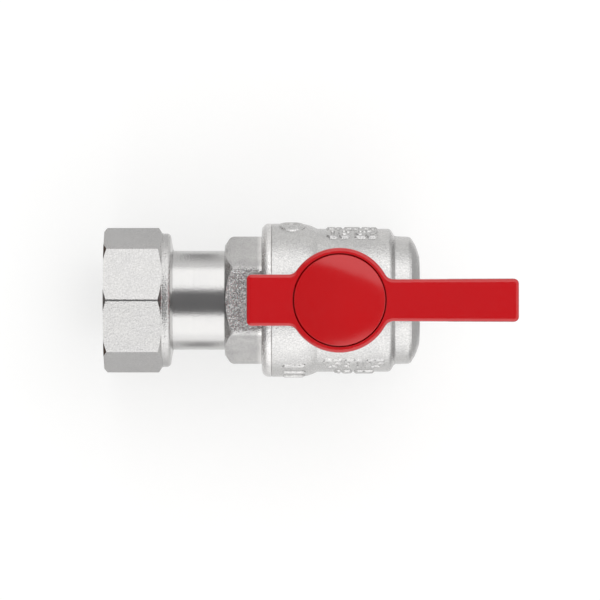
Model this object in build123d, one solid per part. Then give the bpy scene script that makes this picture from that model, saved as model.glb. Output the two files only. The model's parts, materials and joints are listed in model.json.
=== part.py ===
"""Isolating ball valve with a captive union nut, for a heating circulator.

Millimetres. The origin is the centre of the pipe socket's mouth. +X leaves the socket
along the pipe axis, and +Z runs up the stem to the handle. The valve is drawn open.
"""

from build123d import *

import os
from math import cos, pi, sqrt

# Waterway and ball
STEM_X = -31.1  # ball centre and stem axis, behind the socket's mouth
BORE_R = 12.5
BALL_R = 19.0
SLOT_WIDTH = 6.0  # milled across the ball, square to its bore
SLOT_FLOOR_Z = 13.6

# Seat rings, measured from the ball's centre along the pipe
SEAT_FRONT = 10.5
SEAT_BACK = 15.0
SEAT_BORE_R = 12.8
SEAT_OUTER_R = 18.0
SEAT_CLEARANCE = 0.05  # running gap between ball and seat

# Forged body, outside
JOINT_X = -57.2  # where the end connector's flange meets the body
BODY_R = 29.7
TAPER_START_X = -43.2
TAPER_END_X = -39.5
TAPER_ROUNDING = 14.0
WAIST_R = 27.75  # round the ball
WAIST_END_X = -11.3
COLLAR_START_X = -9.6
COLLAR_R = 24.85
COLLAR_END_X = -4.2
COLLAR_END_R = 24.65
FACING_EDGE_X = -3.2  # from here to the mouth the end is turned, not forged
FACING_EDGE_R = 24.15
FACING_BEND = (-1.35, 21.2)  # x and radius where the domed facing turns steeper
FACING_DOME_R = 12.0
MOUTH_R = 17.2
JOINT_CHAMFER = 0.25

# Forged body, inside
CHAMBER_R = 20.0
SCREWED_BORE_R = 25.0
SCREWED_BORE_END_X = -44.5
SOCKET_R = 16.62  # thread root, G 1
SOCKET_DEPTH = 14.2

# Stem boss on the body
BOSS_R = 10.0
BOSS_TOP_Z = 36.5
BOSS_FOOT_R = 12.6
BOSS_FOOT_Z = 26.8
BOSS_FLARE_Z = 30.2
STOP_LUG_WIDTH = 5.0
STOP_LUG_REACH = 14.0
STOP_LUG_TOP_Z = 35.6

# Stem
STEM_R = 6.0
STEM_BORE_R = 6.05
STEM_SHOULDER_R = 9.0
STEM_SHOULDER_BOTTOM_Z = 20.3
STEM_SHOULDER_TOP_Z = 23.2
STEM_POCKET_R = 9.3
STEM_POCKET_TOP_Z = 24.4
STEM_FLATS_Z = 36.9
STEM_TOP_Z = 41.0
STEM_FLAT_HALF_WIDTH = 4.25
TANG_LENGTH = 14.0
TANG_BOTTOM_Z = 13.9
RUNNING_GAP = 0.05
O_RING_GROOVES_Z = (26.6, 31.0)
O_RING_GROOVE_WIDTH = 2.2
O_RING_GROOVE_R = 4.6

# End connector: neck, hexagon, flange and screwed spigot
NECK_END_X = -105.7
NECK_R = 19.2
NECK_BORE_R = 14.5
NECK_BORE_END_X = -66.0
HEX_X = -75.3
HEX_CORNER_R = 25.25
HEX_EDGE_R = 3.6
HEX_TURNED_R = 24.75  # over the rounded corners
HEX_CHAMFER_R = 21.3
HEX_CHAMFER_LENGTH = 2.4
FLANGE_X = -61.0
FLANGE_R = 29.75
FLANGE_ROUNDING = 2.8
SPIGOT_R = 24.95
SPIGOT_END_X = -45.0
NOSE_R = 19.9
CONNECTOR_SEAL_X = -49.4
CONNECTOR_SEAL_WIDTH = 2.6
CONNECTOR_SEAL_R = 22.9

# Union nut, G 1 1/2
NUT_X = -122.0
NUT_ACROSS_FLATS = 52.0
NUT_SIDES = 8
NUT_EDGE_R = 1.3
NUT_PRISM_END_X = -99.4
NUT_COLLAR_R = 25.86
NUT_COLLAR_EDGE_X = -96.4
NUT_BACK_X = -95.4
NUT_BACK_R = 20.2
NUT_THREAD_R = 23.9  # thread root
NUT_THREAD_END_X = -108.0
NUT_RELIEF_R = 24.3  # turned room behind the thread for the tap to run out
NUT_SHOULDER_X = -100.5
NUT_LIP_R = 19.65

# Snap ring in the neck's groove, and the gasket on the neck's end
SNAP_RING_X = -103.6
SNAP_RING_WIDTH = 3.0
SNAP_RING_INNER_R = 18.15
SNAP_RING_OUTER_R = 21.9
SNAP_RING_GAP = 4.0
GASKET_THICKNESS = 2.0
GASKET_INNER_R = 16.0
GASKET_OUTER_R = 21.8

# Handle, measured from the stem's axis
HANDLE_BOTTOM_Z = 35.0
HANDLE_TOP_Z = 47.0
HUB_R = 20.15
RECESS_R = 17.9
WEB_BOTTOM_Z = 37.2
WEB_TOP_Z = 41.2
SHORT_ARM_REACH = 35.6
SHORT_ARM_WIDTH = 19.9
LONG_ARM_REACH = 68.5
LONG_ARM_ROOT_WIDTH = 16.1
LONG_ARM_END_WIDTH = 16.7
ARM_CORNER_R = 2.0
ARM_ROOT_R = 3.5
HANDLE_EDGE_R = 1.5
HANDLE_DRAFT = 1.0  # degrees, so that the moulding leaves its tool
HANDLE_WALL = 2.2
HANDLE_ROOF = 2.5
RIB_THICKNESS = 1.6
RIB_BOTTOM_Z = 36.2
RIB_PITCH = 11.5
SKIRT_INNER_R = 10.8
SKIRT_OUTER_R = 13.8
SKIRT_BOTTOM_Z = 33.5
STOP_GAP = 0.1
SNAP_GROOVE_Z = 42.6
SNAP_GROOVE_HEIGHT = 1.2
SNAP_GROOVE_DEPTH = 0.35

# Blind cap, screw and washer in the hub
CAP_R = 17.45
CAP_EDGE_Z = 47.2
CAP_DOME_R = 57.0
CAP_THICKNESS = 2.0
CAP_LEG_BOTTOM_Z = 41.9
CAP_LEG_THICKNESS = 1.5
CAP_LEG_SLOT = 9.0
CAP_LEG_ROOF_Z = 45.4
CAP_BEAD = 0.25
CAP_RIM_R = 0.4
WASHER_R = 6.5
WASHER_THICKNESS = 1.2
SCREW_R = 2.5
SCREW_LENGTH = 9.0
SCREW_HEAD_R = 4.5
SCREW_HEAD_HEIGHT = 3.0
SCREW_SOCKET_ACROSS_FLATS = 4.0
SCREW_SOCKET_DEPTH = 1.9


def turned_on_pipe(points, radii=0):
    """A solid of revolution about the pipe axis, from (x, radius) points."""
    outline = make_face(FilletPolyline(*points, radius=radii, close=True))
    return revolve(Plane.XZ * outline, Axis.X)


def turned_on_stem(points, radii=0):
    """A solid of revolution about the stem axis, from (radius, z) points."""
    outline = make_face(FilletPolyline(*points, radius=radii, close=True))
    return Pos(STEM_X, 0, 0) * revolve(Plane.XZ * outline, Axis.Z)


def tube_on_stem(outer, inner, bottom, top):
    """A plain ring round the stem axis."""
    return turned_on_stem([(inner, bottom), (outer, bottom), (outer, top), (inner, top)])


def prism_on_pipe(section, start, end):
    """A section of (y, z) drawn out along the pipe from one x to another."""
    return Pos(start, 0, 0) * extrude(Plane.YZ * section, end - start)


def polygon(sides, across_corners_r, edge_r):
    """A regular polygon with a corner on +Y and rounded corners."""
    sharp = RegularPolygon(across_corners_r, sides)
    return fillet(sharp.vertices(), edge_r)


def body_outside():
    """The forging: screwed end, waist round the ball, collar and turned facing."""
    points = [
        (JOINT_X, 0),
        (JOINT_X, BODY_R - JOINT_CHAMFER),
        (JOINT_X + JOINT_CHAMFER, BODY_R),
        (TAPER_START_X, BODY_R),
        (TAPER_END_X, WAIST_R),
        (WAIST_END_X, WAIST_R),
        (COLLAR_START_X, COLLAR_R),
        (COLLAR_END_X, COLLAR_END_R),
        (FACING_EDGE_X, FACING_EDGE_R),
        FACING_BEND,
        (0, MOUTH_R),
        (0, 0),
    ]
    radii = [0, 0, 0, TAPER_ROUNDING, 0.8, 1.8, 0.8, 1.0, 0, FACING_DOME_R, 0, 0]
    return turned_on_pipe(points, radii)


def stem_boss():
    """Round boss that holds the stem, flared where it grows out of the body."""
    top_chamfer = 0.6
    points = [
        (0, CHAMBER_R),
        (BOSS_FOOT_R, CHAMBER_R),
        (BOSS_FOOT_R, BOSS_FOOT_Z),
        (BOSS_R, BOSS_FLARE_Z),
        (BOSS_R, BOSS_TOP_Z - top_chamfer),
        (BOSS_R - top_chamfer, BOSS_TOP_Z),
        (0, BOSS_TOP_Z),
    ]
    return turned_on_stem(points, [0, 0, 1.0, 3.0, 0, 0, 0])


def stop_lug():
    """Lug on the boss's socket side, where both ends of the handle's travel meet it."""
    root = BOSS_R / 2
    height = STOP_LUG_TOP_Z - CHAMBER_R
    lug = Box(STOP_LUG_REACH - root, STOP_LUG_WIDTH, height, align=(Align.MIN, Align.CENTER, Align.MIN))
    lug = fillet(lug.edges().filter_by(Axis.Z).group_by(Axis.X)[-1], 1.0)
    return Pos(STEM_X + root, 0, CHAMBER_R) * lug


def body_inside():
    """Every hollow on the pipe axis: screwed bore, chamber, seat pocket, socket."""
    seat_shoulder_x = STEM_X + SEAT_BACK
    mouth_chamfer = 0.5
    beyond = 1.0
    points = [
        (JOINT_X - beyond, 0),
        (JOINT_X - beyond, SCREWED_BORE_R),
        (SCREWED_BORE_END_X, SCREWED_BORE_R),
        (SCREWED_BORE_END_X, CHAMBER_R),
        (STEM_X + SEAT_FRONT, CHAMBER_R),
        (STEM_X + SEAT_FRONT, SEAT_OUTER_R),
        (seat_shoulder_x, SEAT_OUTER_R),
        (seat_shoulder_x, BORE_R),
        (-SOCKET_DEPTH, BORE_R),
        (-SOCKET_DEPTH, SOCKET_R),
        (-mouth_chamfer, SOCKET_R),
        (0, SOCKET_R + mouth_chamfer),
        (beyond, SOCKET_R + mouth_chamfer),
        (beyond, 0),
    ]
    return turned_on_pipe(points)


def stem_hole():
    """Stem bore with the wider pocket that keeps the stem's shoulder inside."""
    beyond = 1.0
    points = [
        (0, 0),
        (STEM_POCKET_R, 0),
        (STEM_POCKET_R, STEM_POCKET_TOP_Z),
        (STEM_BORE_R, STEM_POCKET_TOP_Z),
        (STEM_BORE_R, BOSS_TOP_Z + beyond),
        (0, BOSS_TOP_Z + beyond),
    ]
    return turned_on_stem(points)


def make_valve_body():
    """Forged body in one piece."""
    return body_outside() + stem_boss() + stop_lug() - body_inside() - stem_hole()


def hexagon():
    """Spanner hexagon with a flat on top and a turned-off left end."""
    section = polygon(6, HEX_CORNER_R, HEX_EDGE_R)
    end_x = (FLANGE_X + JOINT_X) / 2  # inside the flange
    envelope = turned_on_pipe(
        [
            (HEX_X, 0),
            (HEX_X, HEX_CHAMFER_R),
            (HEX_X + HEX_CHAMFER_LENGTH, HEX_TURNED_R),
            (end_x, HEX_TURNED_R),
            (end_x, 0),
        ],
        [0, 0.6, 3.0, 0, 0],
    )
    return prism_on_pipe(section, HEX_X, end_x) & envelope


def make_end_connector():
    """Neck, hexagon, flange and screwed spigot, turned and forged in one piece."""
    edge_chamfer = 0.6
    groove_gap = 0.05
    groove_start = SNAP_RING_X - groove_gap
    groove_end = SNAP_RING_X + SNAP_RING_WIDTH + groove_gap
    groove_r = SNAP_RING_INNER_R - groove_gap
    seat_front_x = STEM_X - SEAT_FRONT
    outside = turned_on_pipe(
        [
            (NECK_END_X, 0),
            (NECK_END_X, NECK_R - edge_chamfer),
            (NECK_END_X + edge_chamfer, NECK_R),
            (groove_start, NECK_R),
            (groove_start, groove_r),
            (groove_end, groove_r),
            (groove_end, NECK_R),
            (FLANGE_X, NECK_R),
            (FLANGE_X, FLANGE_R),
            (JOINT_X - JOINT_CHAMFER, FLANGE_R),
            (JOINT_X, FLANGE_R - JOINT_CHAMFER),
            (JOINT_X, SPIGOT_R),
            (CONNECTOR_SEAL_X, SPIGOT_R),
            (CONNECTOR_SEAL_X, CONNECTOR_SEAL_R),
            (CONNECTOR_SEAL_X + CONNECTOR_SEAL_WIDTH, CONNECTOR_SEAL_R),
            (CONNECTOR_SEAL_X + CONNECTOR_SEAL_WIDTH, SPIGOT_R),
            (SPIGOT_END_X, SPIGOT_R),
            (SPIGOT_END_X, NOSE_R),
            (seat_front_x, NOSE_R),
            (seat_front_x, 0),
        ],
        [0] * 8 + [FLANGE_ROUNDING] + [0] * 11,
    )
    beyond = 1.0
    seat_shoulder_x = STEM_X - SEAT_BACK
    inside = turned_on_pipe(
        [
            (NECK_END_X - beyond, 0),
            (NECK_END_X - beyond, NECK_BORE_R),
            (NECK_BORE_END_X, NECK_BORE_R),
            (NECK_BORE_END_X + 2 * (NECK_BORE_R - BORE_R), BORE_R),
            (seat_shoulder_x, BORE_R),
            (seat_shoulder_x, SEAT_OUTER_R),
            (seat_front_x + beyond, SEAT_OUTER_R),
            (seat_front_x + beyond, 0),
        ]
    )
    return outside + hexagon() - inside


def make_seat(turn):
    """Seat ring hollowed to the ball, turned about the stem's axis to face it."""
    ring = turned_on_pipe(
        [
            (-SEAT_BACK, SEAT_BORE_R),
            (-SEAT_FRONT, SEAT_BORE_R),
            (-SEAT_FRONT, SEAT_OUTER_R),
            (-SEAT_BACK, SEAT_OUTER_R),
        ]
    )
    seat = ring - Sphere(BALL_R + SEAT_CLEARANCE)
    return Pos(STEM_X, 0, 0) * Rot(0, 0, turn) * seat


def make_ball():
    """Ball with its through bore and the slot that the stem's tang turns."""
    bore = Rot(0, 90, 0) * Cylinder(BORE_R, 3 * BALL_R)
    slot_height = BALL_R
    slot = Pos(0, 0, SLOT_FLOOR_Z) * Box(
        SLOT_WIDTH, 3 * BALL_R, slot_height, align=(Align.CENTER, Align.CENTER, Align.MIN)
    )
    return Pos(STEM_X, 0, 0) * (Sphere(BALL_R) - bore - slot)


def make_stem():
    """Stem, put in from inside: tang, shoulder, two seal grooves and two flats."""
    tip_chamfer = 0.5
    points = [
        (0, STEM_SHOULDER_BOTTOM_Z),
        (STEM_SHOULDER_R, STEM_SHOULDER_BOTTOM_Z),
        (STEM_SHOULDER_R, STEM_SHOULDER_TOP_Z),
        (STEM_R, STEM_SHOULDER_TOP_Z),
    ]
    for bottom in O_RING_GROOVES_Z:
        top = bottom + O_RING_GROOVE_WIDTH
        points += [(STEM_R, bottom), (O_RING_GROOVE_R, bottom), (O_RING_GROOVE_R, top), (STEM_R, top)]
    points += [(STEM_R, STEM_TOP_Z - tip_chamfer), (STEM_R - tip_chamfer, STEM_TOP_Z), (0, STEM_TOP_Z)]
    shaft = turned_on_stem(points)
    tang_height = STEM_SHOULDER_TOP_Z - TANG_BOTTOM_Z
    tang = Box(SLOT_WIDTH, TANG_LENGTH, tang_height, align=(Align.CENTER, Align.CENTER, Align.MIN))
    tang = Pos(STEM_X, 0, TANG_BOTTOM_Z) * tang
    flats = Pos(STEM_X, 0, STEM_FLATS_Z) * flat_cutters()
    hole = Pos(STEM_X, 0, STEM_TOP_Z) * Cylinder(SCREW_R, 2 * SCREW_LENGTH)
    return shaft + tang - flats - hole


def flat_cutters():
    """Two blocks that leave the stem's flats facing +Y and -Y."""
    block = Box(4 * STEM_R, STEM_R, STEM_R, align=(Align.CENTER, Align.MIN, Align.MIN))
    return Pos(0, STEM_FLAT_HALF_WIDTH, 0) * block + Pos(0, -STEM_FLAT_HALF_WIDTH - STEM_R, 0) * block


def make_stem_o_ring(groove_z):
    """Seal squeezed between its groove and the stem bore, so its section is flattened."""
    side_gap = 0.1
    bottom = groove_z + side_gap
    top = groove_z + O_RING_GROOVE_WIDTH - side_gap
    inner = O_RING_GROOVE_R
    outer = STEM_BORE_R - RUNNING_GAP
    return turned_on_stem([(inner, bottom), (outer, bottom), (outer, top), (inner, top)], 0.6)


def make_connector_o_ring():
    """Seal between the connector's spigot and the body's bore."""
    side_gap = 0.15
    start = CONNECTOR_SEAL_X + side_gap
    end = CONNECTOR_SEAL_X + CONNECTOR_SEAL_WIDTH - side_gap
    inner = CONNECTOR_SEAL_R
    outer = SCREWED_BORE_R
    return turned_on_pipe([(start, inner), (end, inner), (end, outer), (start, outer)], 0.8)


def make_union_nut():
    """Eight-sided nut with a round collar, free to turn and slide on the neck."""
    corner_r = NUT_ACROSS_FLATS / 2 / cos(pi / NUT_SIDES)
    front_chamfer_r = 26.7
    front_chamfer_depth = 1.3
    back_chamfer_depth = 1.6
    envelope = turned_on_pipe(
        [
            (NUT_X, 0),
            (NUT_X, front_chamfer_r),
            (NUT_X + front_chamfer_depth, corner_r),
            (NUT_PRISM_END_X - back_chamfer_depth, corner_r),
            (NUT_PRISM_END_X, NUT_COLLAR_R),
            (NUT_COLLAR_EDGE_X, NUT_COLLAR_R),
            (NUT_BACK_X, NUT_BACK_R),
            (NUT_BACK_X, 0),
        ],
        [0, 0, 0, 0, 1.0, 1.6, 0.3, 0],
    )
    prism = prism_on_pipe(polygon(NUT_SIDES, corner_r, NUT_EDGE_R), NUT_X, NUT_BACK_X)
    lead = 0.5
    beyond = 1.0
    inside = turned_on_pipe(
        [
            (NUT_X - beyond, 0),
            (NUT_X - beyond, NUT_THREAD_R + lead),
            (NUT_X, NUT_THREAD_R + lead),
            (NUT_X + lead, NUT_THREAD_R),
            (NUT_THREAD_END_X, NUT_THREAD_R),
            (NUT_THREAD_END_X + lead, NUT_RELIEF_R),
            (NUT_SHOULDER_X, NUT_RELIEF_R),
            (NUT_SHOULDER_X, NUT_LIP_R),
            (NUT_BACK_X + beyond, NUT_LIP_R),
            (NUT_BACK_X + beyond, 0),
        ]
    )
    return (prism & envelope) - inside


def make_snap_ring():
    """Split ring in the neck's groove. The nut's shoulder bears on it."""
    start = SNAP_RING_X
    end = SNAP_RING_X + SNAP_RING_WIDTH
    ring = turned_on_pipe(
        [
            (start, SNAP_RING_INNER_R),
            (end, SNAP_RING_INNER_R),
            (end, SNAP_RING_OUTER_R),
            (start, SNAP_RING_OUTER_R),
        ],
        [0, 0, 0.5, 0.5],
    )
    split = Box(4 * SNAP_RING_WIDTH, SNAP_RING_GAP, SNAP_RING_OUTER_R)
    return ring - Pos(SNAP_RING_X, 0, -SNAP_RING_OUTER_R) * split


def make_union_gasket():
    """Flat gasket on the neck's end face."""
    start = NECK_END_X - GASKET_THICKNESS
    return turned_on_pipe(
        [
            (start, GASKET_INNER_R),
            (NECK_END_X, GASKET_INNER_R),
            (NECK_END_X, GASKET_OUTER_R),
            (start, GASKET_OUTER_R),
        ]
    )


def handle_plan():
    """Outline from above: round hub, short wide arm to -X, long narrow arm to +X."""
    hub = Circle(HUB_R)
    short_arm = Pos(-SHORT_ARM_REACH / 2, 0) * Rectangle(SHORT_ARM_REACH, SHORT_ARM_WIDTH)
    root = LONG_ARM_ROOT_WIDTH / 2
    end = LONG_ARM_END_WIDTH / 2
    long_arm = make_face(
        Polyline((0, -root), (LONG_ARM_REACH, -end), (LONG_ARM_REACH, end), (0, root), close=True)
    )
    plan = hub + short_arm + long_arm
    ends = [v for v in plan.vertices() if abs(v.X) > 1.5 * HUB_R]
    plan = fillet(ends, ARM_CORNER_R)
    roots = [v for v in plan.vertices() if abs(Vector(v.X, v.Y).length - HUB_R) < 0.01]
    return fillet(roots, ARM_ROOT_R)


def arm_hollows():
    """The space under both arms, with the ribs across it left standing."""
    roof_z = HANDLE_TOP_Z - HANDLE_ROOF
    short_end = SHORT_ARM_REACH - HANDLE_WALL
    short_width = SHORT_ARM_WIDTH - 2 * HANDLE_WALL
    long_end = LONG_ARM_REACH - HANDLE_WALL
    root = LONG_ARM_ROOT_WIDTH / 2 - HANDLE_WALL
    end = LONG_ARM_END_WIDTH / 2 - HANDLE_WALL
    short_plan = Pos(-short_end / 2, 0) * Rectangle(short_end, short_width)
    long_plan = make_face(Polyline((0, -root), (long_end, -end), (long_end, end), (0, root), close=True))
    hollow_plan = short_plan + long_plan - Circle(HUB_R)
    hollows = Pos(0, 0, HANDLE_BOTTOM_Z) * extrude(hollow_plan, roof_z - HANDLE_BOTTOM_Z)
    rib_height = roof_z - RIB_BOTTOM_Z
    rib = Box(RIB_THICKNESS, 2 * HUB_R, rib_height, align=(Align.CENTER, Align.CENTER, Align.MIN))
    rib_places = [HUB_R + RIB_PITCH * step for step in (1, 2, 3, 4)] + [-HUB_R - 0.6 * RIB_PITCH]
    for place in rib_places:
        if place < long_end:
            hollows -= Pos(place, 0, RIB_BOTTOM_Z) * rib
    return hollows


def handle_skirt():
    """Ring under the web, open over a quarter turn for the body's stop lug."""
    ring = Cylinder(SKIRT_OUTER_R, WEB_BOTTOM_Z - SKIRT_BOTTOM_Z) - Cylinder(
        SKIRT_INNER_R, WEB_BOTTOM_Z - SKIRT_BOTTOM_Z
    )
    stop_face = -STOP_LUG_WIDTH / 2 - STOP_GAP
    opening = Pos(stop_face, stop_face, 0) * Box(
        2 * HUB_R, 2 * HUB_R, 2 * HUB_R, align=(Align.MIN, Align.MIN, Align.CENTER)
    )
    return Pos(0, 0, (WEB_BOTTOM_Z + SKIRT_BOTTOM_Z) / 2) * (ring - opening)


def make_handle():
    """Moulded handle: hollow ribbed arms, hub with a recess for the cap, stop skirt."""
    height = HANDLE_TOP_Z - HANDLE_BOTTOM_Z
    block = Pos(0, 0, HANDLE_BOTTOM_Z) * extrude(handle_plan(), height, taper=HANDLE_DRAFT)
    block = fillet(block.faces().sort_by(Axis.Z)[-1].edges(), HANDLE_EDGE_R)
    recess = Pos(0, 0, WEB_TOP_Z) * Cylinder(
        RECESS_R, HANDLE_TOP_Z, align=(Align.CENTER, Align.CENTER, Align.MIN)
    )
    groove = Pos(0, 0, SNAP_GROOVE_Z) * Cylinder(
        RECESS_R + SNAP_GROOVE_DEPTH, SNAP_GROOVE_HEIGHT, align=(Align.CENTER, Align.CENTER, Align.MIN)
    )
    under_web = Pos(0, 0, WEB_BOTTOM_Z) * Cylinder(
        RECESS_R, HANDLE_TOP_Z, align=(Align.CENTER, Align.CENTER, Align.MAX)
    )
    stem_end = Cylinder(STEM_R, HANDLE_TOP_Z, align=(Align.CENTER, Align.CENTER, Align.MIN))
    stem_end -= Pos(0, 0, HANDLE_BOTTOM_Z) * flat_cutters()
    handle = block - arm_hollows() - recess - groove - under_web - stem_end + handle_skirt()
    return Pos(STEM_X, 0, 0) * handle


def dome_z(radius, depth=0):
    """Height of the cap's dome at a radius, or of a surface parallel to it below."""
    centre_z = CAP_EDGE_Z - sqrt(CAP_DOME_R**2 - CAP_R**2)
    return centre_z + sqrt((CAP_DOME_R - depth) ** 2 - radius**2)


def make_handle_cap():
    """Domed blind cap with four legs that snap into the hub's groove."""
    inner_r = CAP_R - CAP_LEG_THICKNESS
    top = ThreePointArc((0, dome_z(0)), (CAP_R / 2, dome_z(CAP_R / 2)), (CAP_R, CAP_EDGE_Z))
    under = ThreePointArc(
        (inner_r, dome_z(inner_r, CAP_THICKNESS)),
        (inner_r / 2, dome_z(inner_r / 2, CAP_THICKNESS)),
        (0, dome_z(0, CAP_THICKNESS)),
    )
    bead_z = SNAP_GROOVE_Z + SNAP_GROOVE_HEIGHT / 2
    bead_half_height = 0.5
    side = Polyline(
        top @ 1,
        (CAP_R, bead_z + bead_half_height),
        (RECESS_R + CAP_BEAD, bead_z),
        (CAP_R, bead_z - bead_half_height),
        (CAP_R, CAP_LEG_BOTTOM_Z),
        (inner_r, CAP_LEG_BOTTOM_Z),
        under @ 0,
    )
    section = make_face(Curve() + [top, side, under, Line(under @ 1, top @ 0)])
    rim = section.vertices().sort_by_distance((CAP_R, CAP_EDGE_Z))[0]
    cap = revolve(Plane.XZ * fillet(rim, CAP_RIM_R), Axis.Z)
    slot = Box(CAP_LEG_SLOT, 3 * CAP_R, CAP_LEG_ROOF_Z, align=(Align.CENTER, Align.CENTER, Align.MIN))
    cap -= slot
    cap -= Rot(0, 0, 90) * slot
    return Pos(STEM_X, 0, 0) * cap


def make_handle_screw():
    """Pan-head screw with a hexagon socket."""
    head_z = WEB_TOP_Z + WASHER_THICKNESS
    screw = turned_on_stem(
        [
            (0, head_z - SCREW_LENGTH + 1),
            (SCREW_R, head_z - SCREW_LENGTH + 1),
            (SCREW_R, head_z),
            (SCREW_HEAD_R, head_z),
            (SCREW_HEAD_R, head_z + SCREW_HEAD_HEIGHT),
            (0, head_z + SCREW_HEAD_HEIGHT),
        ],
        [0, 0, 0, 0, 1.2, 0],
    )
    socket = extrude(RegularPolygon(SCREW_SOCKET_ACROSS_FLATS / 2, 6, major_radius=False), SCREW_SOCKET_DEPTH)
    return screw - Pos(STEM_X, 0, head_z + SCREW_HEAD_HEIGHT - SCREW_SOCKET_DEPTH) * socket


def make_stem_washer():
    """Thrust washer between the stem's shoulder and the ceiling of its pocket."""
    top = STEM_POCKET_TOP_Z - RUNNING_GAP
    return tube_on_stem(STEM_SHOULDER_R, STEM_R + 0.1, STEM_SHOULDER_TOP_Z, top)


def make_screw_washer():
    """Flat washer between the screw's head and the handle's web."""
    return tube_on_stem(WASHER_R, SCREW_R + 0.2, WEB_TOP_Z, WEB_TOP_Z + WASHER_THICKNESS)


def make_parts():
    """Every node by name."""
    return {
        "valve_body": make_valve_body(),
        "end_connector": make_end_connector(),
        "connector_o_ring": make_connector_o_ring(),
        "inlet_seat": make_seat(0),
        "outlet_seat": make_seat(180),
        "union_gasket": make_union_gasket(),
        "snap_ring": make_snap_ring(),
        "union_nut": make_union_nut(),
        "ball": make_ball(),
        "stem": make_stem(),
        "stem_washer": make_stem_washer(),
        "lower_o_ring": make_stem_o_ring(O_RING_GROOVES_Z[0]),
        "upper_o_ring": make_stem_o_ring(O_RING_GROOVES_Z[1]),
        "handle": make_handle(),
        "screw_washer": make_screw_washer(),
        "handle_screw": make_handle_screw(),
        "handle_cap": make_handle_cap(),
    }


os.makedirs("parts", exist_ok=True)
for name, part in make_parts().items():
    export_step(part, f"parts/{name}.step")
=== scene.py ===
"""Isolating ball valve with a captive union nut, lying under soft studio light.

Metres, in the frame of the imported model: +X leaves the pipe socket along the pipe axis and
+Z runs up the stem to the handle. Sizes given in millimetres carry the factor MM.
"""

import json
from math import cos, hypot, pi, radians, sin

import bmesh
import bpy
from mathutils import Matrix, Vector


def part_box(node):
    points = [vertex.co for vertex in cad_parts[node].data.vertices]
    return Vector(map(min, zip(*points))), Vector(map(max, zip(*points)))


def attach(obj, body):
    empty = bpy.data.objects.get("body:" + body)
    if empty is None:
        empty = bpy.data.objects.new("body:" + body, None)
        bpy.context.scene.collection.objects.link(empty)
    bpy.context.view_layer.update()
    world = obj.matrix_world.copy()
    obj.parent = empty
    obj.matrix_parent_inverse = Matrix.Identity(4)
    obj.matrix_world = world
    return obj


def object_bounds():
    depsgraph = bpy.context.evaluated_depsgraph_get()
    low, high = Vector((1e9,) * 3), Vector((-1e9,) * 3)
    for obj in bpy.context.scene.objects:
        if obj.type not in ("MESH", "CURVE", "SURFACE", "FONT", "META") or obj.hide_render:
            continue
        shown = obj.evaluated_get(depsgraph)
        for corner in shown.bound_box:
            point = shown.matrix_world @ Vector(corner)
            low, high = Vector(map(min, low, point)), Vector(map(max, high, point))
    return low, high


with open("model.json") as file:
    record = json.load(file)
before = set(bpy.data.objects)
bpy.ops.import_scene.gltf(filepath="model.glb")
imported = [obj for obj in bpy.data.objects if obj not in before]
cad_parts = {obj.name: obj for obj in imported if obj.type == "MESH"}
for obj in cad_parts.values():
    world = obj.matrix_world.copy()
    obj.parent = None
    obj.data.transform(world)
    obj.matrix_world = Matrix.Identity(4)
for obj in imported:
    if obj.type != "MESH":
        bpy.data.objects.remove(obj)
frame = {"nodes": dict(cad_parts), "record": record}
cad_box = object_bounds()

MM = 0.001
nodes = frame["nodes"]
mounts = {m["name"]: m for m in frame["record"]["mounts"]}

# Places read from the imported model
STEM_X = (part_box("stem")[0].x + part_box("stem")[1].x) / 2
FLOOR_Z = cad_box[0].z - 0.05 * MM  # just clear of the lowest faces

# Pipe threads have 11 turns to the inch and flanks at 55 degrees. The socket's begins
# a little inside its mouth.
THREAD_PITCH = 2.309 * MM
THREAD_DEPTH = 1.479 * MM
THREAD_STEPS = 72
THREAD_LEAD_IN = 0.4 * MM

# Dents on turned surfaces, and on flanks that the shot only glanced off, as a share of the
# dents where it struck squarely
TURNED_DENTS = 0.07
GLANCING_DENTS = 0.25
# A flat's dents fade out over this height at its rounded edges, and corners reach this much
# farther from the pipe axis than the flats between them
EDGE_MM = 0.8
CORNER_MM = 4.0
# The noise that counts as the bottom and as the rim of a dent, between which the painted shade in
# the dent fades out, and a dent's mean share of the way from its bottom to its rim
DENT_BOTTOM = 0.32
DENT_RIM = 0.75
DENT_MEAN = 0.42

# Raised marks: the forging's radius and place along the pipe where it carries them
SCREWED_END_R = 29.7 * MM
SCREWED_END_X = -49.5 * MM
WAIST_R = 27.75 * MM
WAIST_LEFT_X = -26.0 * MM
WAIST_RIGHT_X = -25.6 * MM
# and their worn cross-section: half of the crown, half of the foot, the step of the grid
# that draws them, and how deep they start below the forging's skin
MARK_CROWN_MM = 0.3
MARK_FOOT_MM = 1.35
MARK_STEP_MM = 0.2
MARK_SUNK_MM = 0.04

# Plain numerals as strokes in a box 0.6 wide and 1 high, how far one numeral is from the
# next, the gap that this leaves between them, and how wide a space is
NUMERAL_STROKES = {
    "0": [
        [
            (0.15, 0), (0.45, 0), (0.6, 0.2), (0.6, 0.8), (0.45, 1),
            (0.15, 1), (0, 0.8), (0, 0.2), (0.15, 0),
        ]
    ],
    "1": [[(0.1, 0.72), (0.35, 1), (0.35, 0)]],
    "2": [[(0, 0.8), (0.15, 1), (0.45, 1), (0.6, 0.8), (0.55, 0.55), (0, 0), (0.6, 0)]],
    "3": [
        [
            (0, 0.85), (0.15, 1), (0.45, 1), (0.6, 0.8), (0.5, 0.55), (0.25, 0.52),
            (0.5, 0.48), (0.6, 0.2), (0.45, 0), (0.15, 0), (0, 0.15),
        ]
    ],
    "5": [
        [
            (0.58, 1), (0.05, 1), (0, 0.55), (0.4, 0.62), (0.6, 0.42),
            (0.6, 0.2), (0.45, 0), (0.15, 0), (0, 0.12),
        ]
    ],
}
NUMERAL_ADVANCE = 0.9
NUMERAL_GAP = 0.3
SPACE_ADVANCE = 0.4

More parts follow.
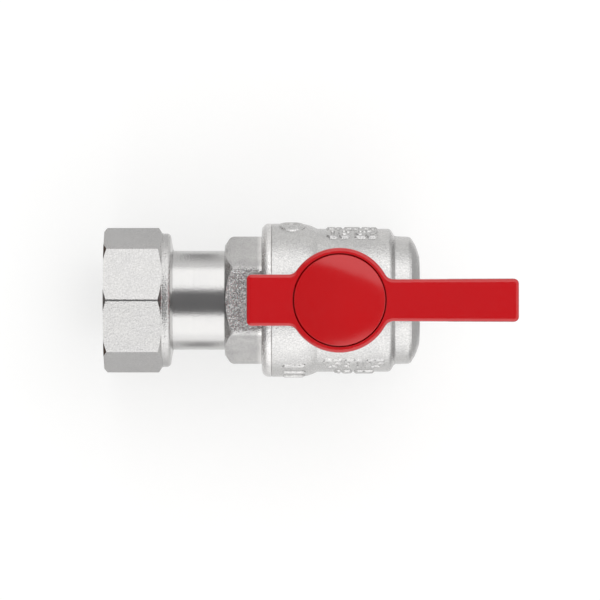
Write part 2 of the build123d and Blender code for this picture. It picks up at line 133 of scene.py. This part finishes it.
# Studio: the softboxes' distance from the pipe, their power and the place along the pipe
# that they are turned about, and half the side of the paper floor
SOFTBOX_DISTANCE = 1.25
SOFTBOX_WATTS_PER_M2 = 2.45
SOFTBOX_PIVOT_X = -0.08
FLOOR_HALF = 8.0
# The light that the floor and the surround lend to the picture, and the surround's as a lamp
FLOOR_LIFT = 0.52
SURROUND_LIGHT = 0.75

# The mixer's sockets, for colours and for plain values
FACTOR, FIRST, SECOND, MIXED = 0, 6, 7, 2
FIRST_VALUE, SECOND_VALUE = 2, 3


def srgb(code):
    """A colour as seen on screen, such as "#C41B1E", turned to linear light."""
    parts = [int(code[i : i + 2], 16) / 255 for i in (1, 3, 5)]
    linear = [p / 12.92 if p <= 0.04045 else ((p + 0.055) / 1.055) ** 2.4 for p in parts]
    return linear + [1.0]


def per(size_mm):
    """The scale at which a pattern comes about once in this many millimetres."""
    return 1 / (size_mm * MM)


def node(tree, kind, inputs=None, out=None, **settings):
    """Adds one node and returns it, or its output named out. inputs holds values and links."""
    made = tree.nodes.new("ShaderNode" + kind)
    for name, value in settings.items():
        setattr(made, name, value)
    for name, value in (inputs or {}).items():
        if isinstance(value, bpy.types.NodeSocket):
            tree.links.new(value, made.inputs[name])
        else:
            made.inputs[name].default_value = value
    return made if out is None else made.outputs[out]


def new_finish(name, constants):
    """A material with one surface shader, whose constants stand on its own sockets."""
    made = bpy.data.materials.new(name)
    made.use_nodes = True
    tree = made.node_tree
    tree.nodes.clear()
    shader = node(tree, "BsdfPrincipled", constants)
    node(tree, "OutputMaterial", {"Surface": shader.outputs["BSDF"]})
    return made, tree, shader, node(tree, "TexCoord", out="Object")


def dress(tree, shader, colour, roughness, reliefs):
    """Links a finish's colour and roughness, and its reliefs as (height, depth in mm)."""
    tree.links.new(colour, shader.inputs["Base Color"])
    tree.links.new(roughness, shader.inputs["Roughness"])
    normal = None
    for height, depth_mm in reliefs:
        inputs = {"Height": height, "Distance": depth_mm * MM}
        if normal is not None:
            inputs["Normal"] = normal
        normal = node(tree, "Bump", inputs, out="Normal")
    tree.links.new(normal, shader.inputs["Normal"])


def axis_radius(tree, place, across):
    """Distance from an axis. across is 1 on the two directions square to it."""
    flat = node(tree, "VectorMath", {0: place, 1: across}, out="Vector", operation="MULTIPLY")
    return node(tree, "VectorMath", {0: flat}, out="Value", operation="LENGTH")


def lathe_rings(tree, along, radius, feed_mm):
    """The spiral that a turning tool leaves on cylinders and on end faces alike."""
    travel = node(tree, "Math", {0: along, 1: radius}, out=0)
    angle = node(tree, "Math", {0: travel, 1: 2 * pi * per(feed_mm)}, out=0, operation="MULTIPLY")
    return node(tree, "Math", {0: angle}, out=0, operation="SINE")


def plated_forging(name, turned_within_mm, near, far, blasted="#C3C2C0", struck_beyond_mm=0.0):
    """Hot-forged brass, shot-blasted and nickel-plated. The shot leaves a sparkle of small dents,
    with painted shade darkening the colour towards their bottoms, and what was turned afterwards,
    within turned_within_mm of the pipe axis, is smoother, with rings and a faint satin grain.
    near and far are two places along the pipe, with the dents' depth and the tone of their
    painted shade at each: (x in mm, depth in mm, tone). The shot strikes squarely, and so leaves
    dents of the full depth, only on flats farther above or below the pipe axis than
    struck_beyond_mm, and on collars that stand out beyond the corners between them."""
    made, tree, shader, place = new_finish(name, {"Metallic": 1.0})
    axes = node(tree, "SeparateXYZ", {"Vector": place}).outputs
    x = axes["X"]
    radius = axis_radius(tree, place, (0, 1, 1))
    height = node(tree, "Math", {0: axes["Z"]}, out=0, operation="ABSOLUTE")
    collar = node(tree, "Math", {0: radius, 1: CORNER_MM * MM}, out=0, operation="SUBTRACT")
    reach = node(tree, "Math", {0: height, 1: collar}, out=0, operation="MAXIMUM")
    struck = node(
        tree,
        "MapRange",
        {
            "Value": reach,
            "From Min": (struck_beyond_mm - EDGE_MM) * MM,
            "From Max": struck_beyond_mm * MM,
            "To Min": GLANCING_DENTS,
            "To Max": 1.0,
        },
        out="Result",
    )
    turned = node(
        tree, "Math", {0: radius, 1: turned_within_mm * MM}, out=0, operation="LESS_THAN"
    )
    dented = node(
        tree, "MapRange", {"Value": turned, "To Min": 1.0, "To Max": TURNED_DENTS}, out="Result"
    )
    clouds = node(tree, "TexNoise", {"Vector": place, "Scale": per(7), "Detail": 3.0}, out="Fac")
    # Shot of about 0.3 mm, drawn at 0.6 mm so that its dents show one by one
    dents = node(
        tree,
        "TexNoise",
        {"Vector": place, "Scale": per(0.6), "Detail": 1.5, "Roughness": 0.6},
        out="Fac",
    )
    dent_mm, pit_shade_tone = (
        node(
            tree,
            "MapRange",
            {
                "Value": x,
                "From Min": near[0] * MM,
                "From Max": far[0] * MM,
                "To Min": near[part],
                "To Max": far[part],
            },
            out="Result",
        )
        for part in (1, 2)
    )
    share = node(tree, "Math", {0: dented, 1: struck}, out=0, operation="MINIMUM")
    grain = node(tree, "Math", {0: dents, 1: share}, out=0, operation="MULTIPLY")
    grain = node(tree, "Math", {0: grain, 1: dent_mm}, out=0, operation="MULTIPLY")
    # Painted shade: the colour darkens towards each dent's bottom, down to the given tone
    pit_shade = node(
        tree,
        "MapRange",
        {
            "Value": dents,
            "From Min": DENT_BOTTOM,
            "From Max": DENT_RIM,
            "To Min": pit_shade_tone,
            "To Max": 1.0,
        },
        out="Result",
    )
    # The same mean painted shade without the sparkle, for flanks that the shot only glanced off
    even_shade = node(
        tree,
        "Math",
        {0: pit_shade_tone, 1: 1 - DENT_MEAN, 2: DENT_MEAN},
        out=0,
        operation="MULTIPLY_ADD",
    )
    pit_shade = node(
        tree,
        "Mix",
        {FACTOR: struck, FIRST_VALUE: even_shade, SECOND_VALUE: pit_shade},
        out="Result",
    )
    # Chatter of the turning tool, one band beside the other along the spiral
    travel = node(tree, "Math", {0: x, 1: radius}, out=0)
    bands = node(
        tree,
        "TexNoise",
        {"W": travel, "Scale": per(1.2), "Detail": 3.0},
        out="Fac",
        noise_dimensions="1D",
    )
    rings = node(
        tree,
        "Math",
        {0: lathe_rings(tree, x, radius, 0.5), 1: turned},
        out=0,
        operation="MULTIPLY",
    )
    nickel = node(
        tree,
        "Mix",
        {FACTOR: turned, FIRST: srgb(blasted), SECOND: srgb("#C3C2C0")},
        out=MIXED,
        data_type="RGBA",
    )
    nickel = node(
        tree,
        "Mix",
        {FACTOR: clouds, FIRST: nickel, SECOND: srgb("#BBBABA")},
        out=MIXED,
        data_type="RGBA",
    )
    shaded = node(
        tree,
        "Mix",
        {FACTOR: dented, FIRST: nickel, SECOND: pit_shade},
        out=MIXED,
        data_type="RGBA",
        blend_type="MULTIPLY",
    )
    blasted_rough = node(
        tree, "MapRange", {"Value": dents, "To Min": 0.14, "To Max": 0.28}, out="Result"
    )
    turned_rough = node(
        tree, "MapRange", {"Value": bands, "To Min": 0.16, "To Max": 0.27}, out="Result"
    )
    roughness = node(
        tree,
        "Mix",
        {FACTOR: turned, FIRST_VALUE: blasted_rough, SECOND_VALUE: turned_rough},
        out="Result",
    )
    # The grain's height already is in millimetres
    dress(tree, shader, shaded, roughness, [(grain, 1.0), (rings, 0.0015)])
    return made


def chromed_ball():
    """Brass ball, ground, polished and chromium-plated: a near mirror with hair-fine laps."""
    made, tree, shader, place = new_finish("chromed_ball_polished", {"Metallic": 1.0})
    x = node(tree, "SeparateXYZ", {"Vector": place}, out="X")
    haze = node(tree, "TexNoise", {"Vector": place, "Scale": per(5), "Detail": 4.0}, out="Fac")
    chrome = node(
        tree,
        "Mix",
        {FACTOR: haze, FIRST: srgb("#DADCDF"), SECOND: srgb("#D0D3D7")},
        out=MIXED,
        data_type="RGBA",
    )
    polish = node(tree, "MapRange", {"Value": haze, "To Min": 0.05, "To Max": 0.12}, out="Result")
    laps = lathe_rings(tree, x, axis_radius(tree, place, (0, 1, 1)), 0.3)
    dress(tree, shader, chrome, polish, [(laps, 0.0003)])
    return made


def turned_brass():
    """Bar brass, turned and left bare: warm yellow with rings, dulled where air reached it."""
    made, tree, shader, place = new_finish("turned_brass_bare", {"Metallic": 1.0})
    on_stem = node(
        tree, "VectorMath", {0: place, 1: (STEM_X, 0, 0)}, out="Vector", operation="SUBTRACT"
    )
    z = node(tree, "SeparateXYZ", {"Vector": on_stem}, out="Z")
    dull = node(tree, "TexNoise", {"Vector": place, "Scale": per(3), "Detail": 4.0}, out="Fac")
    brass = node(
        tree,
        "Mix",
        {FACTOR: dull, FIRST: srgb("#DDBB72"), SECOND: srgb("#BE9A55")},
        out=MIXED,
        data_type="RGBA",
    )
    roughness = node(
        tree, "MapRange", {"Value": dull, "To Min": 0.2, "To Max": 0.36}, out="Result"
    )
    rings = lathe_rings(tree, z, axis_radius(tree, on_stem, (1, 1, 0)), 0.35)
    dress(tree, shader, brass, roughness, [(rings, 0.002)])
    return made


def spring_steel():
    """Hardened strip steel, oiled: dark grey with a rolled streak and a bluish cast."""
    made, tree, shader, place = new_finish("spring_steel_oiled", {"Metallic": 1.0})
    streak_place = node(
        tree, "VectorMath", {0: place, 1: (6, 1, 1)}, out="Vector", operation="MULTIPLY"
    )
    streaks = node(
        tree, "TexNoise", {"Vector": streak_place, "Scale": per(2), "Detail": 5.0}, out="Fac"
    )
    steel = node(
        tree,
        "Mix",
        {FACTOR: streaks, FIRST: srgb("#8C8E93"), SECOND: srgb("#6F7074")},
        out=MIXED,
        data_type="RGBA",
    )
    roughness = node(
        tree, "MapRange", {"Value": streaks, "To Min": 0.22, "To Max": 0.42}, out="Result"
    )
    dress(tree, shader, steel, roughness, [(streaks, 0.004)])
    return made


def zinc_plated_steel():
    """Cold-headed steel, zinc-plated and passivated: bright grey, faintly blue and yellow."""
    made, tree, shader, place = new_finish("zinc_plated_steel", {"Metallic": 1.0})
    film = node(tree, "TexNoise", {"Vector": place, "Scale": per(2.5), "Detail": 2.0}, out="Fac")
    spangle = node(
        tree, "TexNoise", {"Vector": place, "Scale": per(0.4), "Detail": 3.0}, out="Fac"
    )
    zinc = node(
        tree,
        "Mix",
        {FACTOR: film, FIRST: srgb("#C3C9D2"), SECOND: srgb("#D0CCBC")},
        out=MIXED,
        data_type="RGBA",
    )
    roughness = node(
        tree, "MapRange", {"Value": spangle, "To Min": 0.24, "To Max": 0.4}, out="Result"
    )
    dress(tree, shader, zinc, roughness, [(spangle, 0.006)])
    return made


def seal_rubber(name, pale, dark, grain_mm, shine):
    """Vulcanised rubber: near black, a soft sheen, and a grain from its mould or its sheet."""
    made, tree, shader, place = new_finish(name, {"IOR": 1.52})
    bloom = node(tree, "TexNoise", {"Vector": place, "Scale": per(4), "Detail": 4.0}, out="Fac")
    grain = node(
        tree, "TexNoise", {"Vector": place, "Scale": per(grain_mm), "Detail": 2.0}, out="Fac"
    )
    rubber = node(
        tree,
        "Mix",
        {FACTOR: bloom, FIRST: srgb(dark), SECOND: srgb(pale)},
        out=MIXED,
        data_type="RGBA",
    )
    roughness = node(
        tree, "MapRange", {"Value": grain, "To Min": shine, "To Max": shine + 0.15}, out="Result"
    )
    dress(tree, shader, rubber, roughness, [(grain, 0.02)])
    return made


def turned_ptfe():
    """PTFE, pressed, sintered and turned: waxy white, a little light passing through."""
    made, tree, shader, place = new_finish(
        "turned_ptfe", {"IOR": 1.38, "Subsurface Weight": 0.2, "Subsurface Scale": 0.6 * MM}
    )
    x = node(tree, "SeparateXYZ", {"Vector": place}, out="X")
    wax = node(tree, "TexNoise", {"Vector": place, "Scale": per(5), "Detail": 2.0}, out="Fac")
    ptfe = node(
        tree,
        "Mix",
        {FACTOR: wax, FIRST: srgb("#EDECE6"), SECOND: srgb("#E2E1DA")},
        out=MIXED,
        data_type="RGBA",
    )
    roughness = node(
        tree, "MapRange", {"Value": wax, "To Min": 0.34, "To Max": 0.46}, out="Result"
    )
    rings = lathe_rings(tree, x, axis_radius(tree, place, (0, 1, 1)), 0.25)
    dress(tree, shader, ptfe, roughness, [(rings, 0.002)])
    return made


def moulded_nylon(name, body, flow):
    """Injection-moulded polyamide from a polished tool: deep glossy red that is a touch
    uneven where the melt flowed, with the faint waves of a thick moulding as it cooled."""
    made, tree, shader, place = new_finish(name, {"IOR": 1.53})
    melt = node(tree, "TexNoise", {"Vector": place, "Scale": per(22), "Detail": 2.0}, out="Fac")
    waves = node(tree, "TexNoise", {"Vector": place, "Scale": per(9), "Detail": 1.0}, out="Fac")
    orange_peel = node(
        tree, "TexNoise", {"Vector": place, "Scale": per(1.1), "Detail": 1.0}, out="Fac"
    )
    red = node(
        tree,
        "Mix",
        {FACTOR: melt, FIRST: srgb(body), SECOND: srgb(flow)},
        out=MIXED,
        data_type="RGBA",
    )
    gloss = node(tree, "MapRange", {"Value": melt, "To Min": 0.12, "To Max": 0.2}, out="Result")
    dress(tree, shader, red, gloss, [(waves, 0.06), (orange_peel, 0.003)])
    return made


def put_in_scene(name, mesh, material, body):
    """Adds a mesh as a piece of the valve that rides on one of its bodies."""
    piece = bpy.data.objects.new(name, mesh)
    bpy.context.scene.collection.objects.link(piece)
    mesh.materials.clear()
    mesh.materials.append(material)
    for face in mesh.polygons:
        face.use_smooth = True
    mesh.set_sharp_from_angle(angle=radians(38))
    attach(piece, body)


def helical_thread(name, root_r, start_x, end_x):
    """The ridge of an internal pipe thread, right-handed, fading out at both ends."""
    sunk = 0.12 * MM
    foot = 0.97 * MM
    crown = 0.22 * MM
    shoulder = 0.96 * THREAD_DEPTH
    profile = [
        (-foot, -sunk),
        (-foot, 0.0),
        (-crown, shoulder),
        (0.0, THREAD_DEPTH),
        (crown, shoulder),
        (foot, 0.0),
        (foot, -sunk),
    ]
    turns = (end_x - start_x - 2 * foot) / THREAD_PITCH
    steps = round(turns * THREAD_STEPS)
    fade = THREAD_STEPS / 3
    least = 0.04
    points = []
    for step in range(steps + 1):
        angle = 2 * pi * step / THREAD_STEPS
        middle = start_x + foot + THREAD_PITCH * step / THREAD_STEPS
        full = min(1.0, max(least, step / fade), max(least, (steps - step) / fade))
        for along, depth in profile:
            r = root_r - (depth * full if depth > 0 else depth)
            points.append((middle + along * full, r * cos(angle), r * sin(angle)))
    count = len(profile)
    faces = [tuple(range(count)), tuple(steps * count + i for i in reversed(range(count)))]
    for step in range(steps):
        for i in range(count):
            here = step * count + i
            beside = step * count + (i + 1) % count
            faces.append((here, here + count, beside + count, beside))
    mesh = bpy.data.meshes.new(name)
    mesh.from_pydata(points, [], faces)
    mesh.update()
    return mesh


def numerals(text, wide_mm, high_mm):
    """Plain numerals as strokes of (along, up) points in millimetres, about their middle."""
    advances = [SPACE_ADVANCE if letter == " " else NUMERAL_ADVANCE for letter in text]
    width = sum(advances) - NUMERAL_GAP
    strokes = []
    at = 0.0
    for letter, advance in zip(text, advances):
        for line in NUMERAL_STROKES.get(letter, []):
            strokes.append(
                [((at + x) / width * wide_mm - wide_mm / 2, (y - 0.5) * high_mm) for x, y in line]
            )
        at += advance
    return strokes


def raised_mark(name, strokes, side, x, above_deg, radius, rise_mm=0.75):
    """Worn strokes standing proud of the forging's flank, side +1 on +Y and -1 on -Y, this
    many degrees above the pipe axis, so that they read upright from that side."""
    crown, foot, pitch = MARK_CROWN_MM, MARK_FOOT_MM, MARK_STEP_MM
    runs = [pair for line in strokes for pair in zip(line, line[1:])]
    ends = [point for line in strokes for point in line]
    low, high = ([f(p[i] for p in ends) for i in (0, 1)] for f in (min, max))
    columns = int((high[0] - low[0] + 2 * foot) / pitch) + 2
    rows = int((high[1] - low[1] + 2 * foot) / pitch) + 2

    def rise(along, up):
        nearest = foot
        for (ax, ay), (bx, by) in runs:
            dx, dy = bx - ax, by - ay
            share = ((along - ax) * dx + (up - ay) * dy) / (dx * dx + dy * dy)
            share = min(1.0, max(0.0, share))
            nearest = min(nearest, hypot(along - ax - share * dx, up - ay - share * dy))
        share = min(1.0, max(0.0, (foot - nearest) / (foot - crown)))
        return rise_mm * (1 - cos(pi * share)) / 2

    # A grid over the strokes, wrapped round the flank and raised by them
    shape = bmesh.new()
    grid = []
    for row in range(rows):
        up = low[1] - foot + row * pitch
        line = []
        for column in range(columns):
            along = low[0] - foot + column * pitch
            height = rise(along, up)
            angle = radians(above_deg) + up * MM / radius
            r = radius + (height - MARK_SUNK_MM) * MM
            place = (x - side * along * MM, side * r * cos(angle), r * sin(angle))
            line.append((height, shape.verts.new(place)))
        grid.append(line)
    for lower, upper in zip(grid, grid[1:]):
        for i in range(columns - 1):
            corners = [lower[i], lower[i + 1], upper[i + 1], upper[i]]
            if max(height for height, _ in corners) > 0:
                shape.faces.new([vertex for _, vertex in corners])
    bmesh.ops.delete(shape, geom=[v for v in shape.verts if not v.link_faces], context="VERTS")
    bmesh.ops.recalc_face_normals(shape, faces=shape.faces)
    shape.faces.ensure_lookup_table()
    outwards = shape.faces[0].calc_center_median()
    outwards.x = 0
    if shape.faces[0].normal.dot(outwards) < 0:
        bmesh.ops.reverse_faces(shape, faces=shape.faces)
    mesh = bpy.data.meshes.new(name)
    shape.to_mesh(mesh)
    shape.free()
    put_in_scene(name, mesh, finishes["valve_body"], "valve")


def card(name, corners, material):
    """A flat card that only mirrors see, from its four corners."""
    mesh = bpy.data.meshes.new(name)
    mesh.from_pydata(corners, [], [(0, 1, 2, 3)])
    mesh.materials.append(material)
    made = bpy.data.objects.new(name, mesh)
    made.visible_camera = False
    made.visible_diffuse = False
    made.visible_shadow = False
    bpy.context.scene.collection.objects.link(made)


def floor_card(name, start_x, end_x, start_y, end_y, material):
    """A card that lies on the floor, half a millimetre clear of it."""
    z = FLOOR_Z + 0.5 * MM
    plan = [(start_x, start_y), (end_x, start_y), (end_x, end_y), (start_x, end_y)]
    card(name, [(x, y, z) for x, y in plan], material)


def card_finish(name, colour, glow=0.0):
    """Felt or matt board, with glow as painted light: an emission of its own that brightens it
    where mirrors see it.
    """
    made = bpy.data.materials.new(name)
    made.use_nodes = True
    inputs = made.node_tree.nodes["Principled BSDF"].inputs
    inputs["Base Color"].default_value = srgb(colour)
    inputs["Roughness"].default_value = 0.95
    inputs["Emission Color"].default_value = (1, 1, 1, 1)
    inputs["Emission Strength"].default_value = glow
    return made


def softbox(name, side, from_deg, to_deg, start_x, end_x, turn_deg):
    """A long lamp beside the pipe, side +1 on +Y and -1 on -Y, between two angles from the
    vertical as seen from the pipe. It is then turned about a point near the nut, so that its
    near edge runs slantwise."""
    half = radians(to_deg - from_deg) / 2
    middle = radians(to_deg + from_deg) / 2
    lamp = bpy.data.lights.new(name, "AREA")
    lamp.shape = "RECTANGLE"
    lamp.size = end_x - start_x
    lamp.size_y = 2 * SOFTBOX_DISTANCE * sin(half)
    lamp.energy = SOFTBOX_WATTS_PER_M2 * lamp.size * lamp.size_y
    made = bpy.data.objects.new(name, lamp)
    out = SOFTBOX_DISTANCE * cos(half)
    centre_x = (start_x + end_x) / 2
    place = Matrix.Translation((centre_x, side * out * sin(middle), out * cos(middle)))
    near_edge_y = side * SOFTBOX_DISTANCE * sin(radians(from_deg))
    pivot = Matrix.Translation((SOFTBOX_PIVOT_X, near_edge_y, 0))
    turn = pivot @ Matrix.Rotation(radians(-side * turn_deg), 4, "Z") @ pivot.inverted()
    made.matrix_world = turn @ place @ Matrix.Rotation(side * -middle, 4, "X")
    made.visible_camera = False
    bpy.context.scene.collection.objects.link(made)


def looked_at(tree):
    """1 where the picture shows a thing, also by way of mirrors and clear pieces, and 0 where
    it is only a source of light."""
    rays = node(tree, "LightPath").outputs
    direct = {0: rays["Is Camera Ray"], 1: rays["Is Glossy Ray"]}
    seen = node(tree, "Math", direct, out=0, operation="MAXIMUM")
    through = {0: seen, 1: rays["Is Transmission Ray"]}
    return node(tree, "Math", through, out=0, operation="MAXIMUM")


# Finishes, one for each slot of the record, and forgings by node for their turned parts
finishes = {
    # Each forging's two places give x, dent depth and the tone of the painted shade in its dents
    "valve_body": plated_forging(
        "nickel_plated_forging_body", 17.2, (-50, 0.17, 0.74), (0, 0.17, 0.74), "#D3D2D0"
    ),
    "end_connector": plated_forging(
        "nickel_plated_forging_connector",
        19.6,
        (-63, 0.75, 0.43),
        (-61.5, 0.31, 0.95),
        "#EFEDEB",
        21.8,
    ),
    "union_nut": plated_forging(
        "nickel_plated_forged_nut", 24.4, (-99.6, 0.09, 0.74), (-98.8, 0.34, 0.97)
    ),
    "chromed_ball": chromed_ball(),
    "turned_brass": turned_brass(),
    "spring_wire": spring_steel(),
    "zinc_steel": zinc_plated_steel(),
    "seal_rubber": seal_rubber("moulded_seal_rubber", "#1C1C1D", "#121213", 0.5, 0.38),
    "gasket_rubber": seal_rubber("stamped_gasket_rubber", "#2B2A28", "#1B1B1A", 0.9, 0.6),
    "seat_plastic": turned_ptfe(),
    "handle": moulded_nylon("moulded_red_nylon_handle", "#C60410", "#C0040F"),
    "handle_cap": moulded_nylon("moulded_red_nylon_cap", "#C5050E", "#BE040D"),
}
slots = {part["node"]: part["material_slot"] for part in frame["record"]["subparts"]}
for name, solid in nodes.items():
    solid.material_slots[0].material = finishes.get(name) or finishes[slots[name]]

# Threads of the pipe socket and of the union nut
socket = mounts["pipe_socket"]["dims"]
put_in_scene(
    "socket_thread",
    helical_thread(
        "socket_thread", socket["r_mm"] * MM, -socket["length_mm"] * MM, -THREAD_LEAD_IN
    ),
    finishes["valve_body"],
    "valve",
)
nut = mounts["union_thread"]["dims"]
nut_mouth = mounts["union_thread"]["pos_m"][0]
put_in_scene(
    "union_nut_thread",
    helical_thread(
        "union_nut_thread", nut["r_mm"] * MM, nut_mouth, nut_mouth + nut["length_mm"] * MM
    ),
    finishes["union_nut"],
    "nut",
)

# Raised marks on the forging's flanks: a ring with a numeral, ribs, and rows of plain numerals
oval = [(4.0 * cos(2 * pi * i / 32), 5.4 * sin(2 * pi * i / 32)) for i in range(33)]
bars = [[(-3.2, up), (3.2, up)] for up in (-5.6, 0.0, 5.6)]
raised_mark("mark_oval", [oval], 1, SCREWED_END_X, 14, SCREWED_END_R, 0.6)
raised_mark(
    "mark_size_left", numerals("1", 1.6, 4.0), 1, SCREWED_END_X, 14, SCREWED_END_R, 0.45
)
raised_mark("mark_bars", bars, -1, SCREWED_END_X + 0.8 * MM, 20, SCREWED_END_R, 0.6)
raised_mark("mark_upper_left", numerals("25 30", 18.0, 5.6), 1, WAIST_LEFT_X, 23, WAIST_R)
raised_mark("mark_lower_left", numerals("10 25 10", 18.0, 4.6), 1, WAIST_LEFT_X, 4, WAIST_R)
raised_mark(
    "mark_upper_right", numerals("25 30 25", 22.0, 5.4), -1, WAIST_RIGHT_X, 27.5, WAIST_R, 0.5
)
raised_mark("mark_lower_right", numerals("10 25", 14.0, 4.6), -1, WAIST_RIGHT_X, 6, WAIST_R)

# Floor: matt white paper. Its own light, seen by the camera and by mirrors, lifts it to white
# and leaves the valve's shadow on it.
paper = bpy.data.materials.new("matt_white_paper_floor")
paper.use_nodes = True
tree = paper.node_tree
tree.nodes.clear()
place = node(tree, "TexCoord", out="Object")
fibres = node(tree, "TexNoise", {"Vector": place, "Scale": per(3), "Detail": 4.0}, out="Fac")
white = node(
    tree,
    "Mix",
    {FACTOR: fibres, FIRST: srgb("#C0C0BF"), SECOND: srgb("#BDBDBC")},
    out=MIXED,
    data_type="RGBA",
)
paper_skin = node(tree, "BsdfDiffuse", {"Color": white}, out="BSDF")
lift = node(tree, "Math", {0: looked_at(tree), 1: FLOOR_LIFT}, out=0, operation="MULTIPLY")
glow = node(tree, "Emission", {"Color": (1, 1, 1, 1), "Strength": lift}, out="Emission")
lifted = node(tree, "AddShader", {0: paper_skin, 1: glow}, out=0)
node(tree, "OutputMaterial", {"Surface": lifted})
floor_mesh = bpy.data.meshes.new("floor")
floor_mesh.from_pydata(
    [(a * FLOOR_HALF, b * FLOOR_HALF, 0) for a, b in ((-1, -1), (1, -1), (1, 1), (-1, 1))],
    [],
    [(0, 1, 2, 3)],
)
floor_mesh.materials.append(paper)
floor = bpy.data.objects.new("floor", floor_mesh)
floor.location = (0, 0, FLOOR_Z)
bpy.context.scene.collection.objects.link(floor)

# World: white where it is seen, dimmer as a light
world = bpy.data.worlds.new("white_surround")
bpy.context.scene.world = world
world.use_nodes = True
tree = world.node_tree
tree.nodes.clear()
strength = node(
    tree,
    "MapRange",
    {"Value": looked_at(tree), "To Min": SURROUND_LIGHT, "To Max": 1.0},
    out="Result",
)
surround = node(tree, "Background", {"Color": (1, 1, 1, 1), "Strength": strength}, out=0)
node(tree, "OutputWorld", {"Surface": surround})

# Studio: a softbox along each side of the pipe, grey felt above it and past the nut, and paler
# felt past the socket. The felt is seen only in mirrors, where it paints darker reflections and,
# past the socket, a glowing one; that glow is painted light.
softbox("softbox_left", 1, 24.5, 80, -0.6, 0.9, 20)
softbox("softbox_right", -1, 33, 90, -0.6, 0.9, 18)
felt = card_finish("grey_felt", "#9E9EA0")
ceiling_plan = ((-1.4, -1.29), (1.4, -0.37), (1.4, 0.06), (-1.4, 1.08))
card("ceiling", [(x, y, 1.3) for x, y in ceiling_plan], felt)
# Painted light: this pale felt glows, to brighten its reflection past the socket
glowing_pale_felt = card_finish("glowing_pale_felt", "#CFCFD1", 0.8)
end_outline = ((-0.5, FLOOR_Z), (0.5, FLOOR_Z), (0.5, 0.7), (-0.5, 0.7))
for name, x, cloth in (("nut_end_card", -0.5, felt), ("socket_end_card", 0.5, glowing_pale_felt)):
    card(name, [(x, y, z) for y, z in end_outline], cloth)

# Boards on the floor, seen only in mirrors, which paint the reflections in the lower half of each
# piece: grey beside the neck, pale beside the nut, bright on the right under the softbox with a
# glow that is painted light, and dull past both ends
grey_board = card_finish("grey_board", "#B4B4B4")
floor_card("grey_board_left", -0.092, -0.079, 0.05, 0.3, grey_board)
floor_card("grey_board_right", -0.092, -0.079, -0.11, -0.05, grey_board)
pale_board = card_finish("pale_board", "#F8F8F8")
floor_card("pale_board_left", -0.125, -0.094, 0.035, 0.13, pale_board)
floor_card("pale_board_right", -0.125, -0.094, -0.13, -0.035, pale_board)
# Painted light: this white board glows, for a brighter reflection under the right softbox
floor_card("glowing_board", -0.4, 0.3, -1.2, -0.13, card_finish("glowing_white_board", "#E0E0E0", 0.75))
floor_card("end_board", 0.012, 0.3, -0.15, 0.15, card_finish("end_board", "#D0D0D0"))
floor_card("brown_board", -0.5, -0.128, -0.2, 0.2, card_finish("brown_board", "#5A4A40"))

# Camera: straight down, as the photograph was taken. The photograph's 600 pixels cover
# FIELD at the pipe axis.
FIELD = 232.8 * MM
CAMERA_HEIGHT = 2.5
CAMERA_X = -46.2 * MM
CAMERA_Y = 0.08 * MM
camera_data = bpy.data.cameras.new("camera")
camera_data.lens = camera_data.sensor_width * CAMERA_HEIGHT / FIELD
camera_data.clip_start = 0.1
camera_data.clip_end = 50
camera = bpy.data.objects.new("camera", camera_data)
camera.location = (CAMERA_X, CAMERA_Y, CAMERA_HEIGHT)
bpy.context.scene.collection.objects.link(camera)
bpy.context.scene.camera = camera
bpy.context.scene.view_settings.view_transform = "Standard"
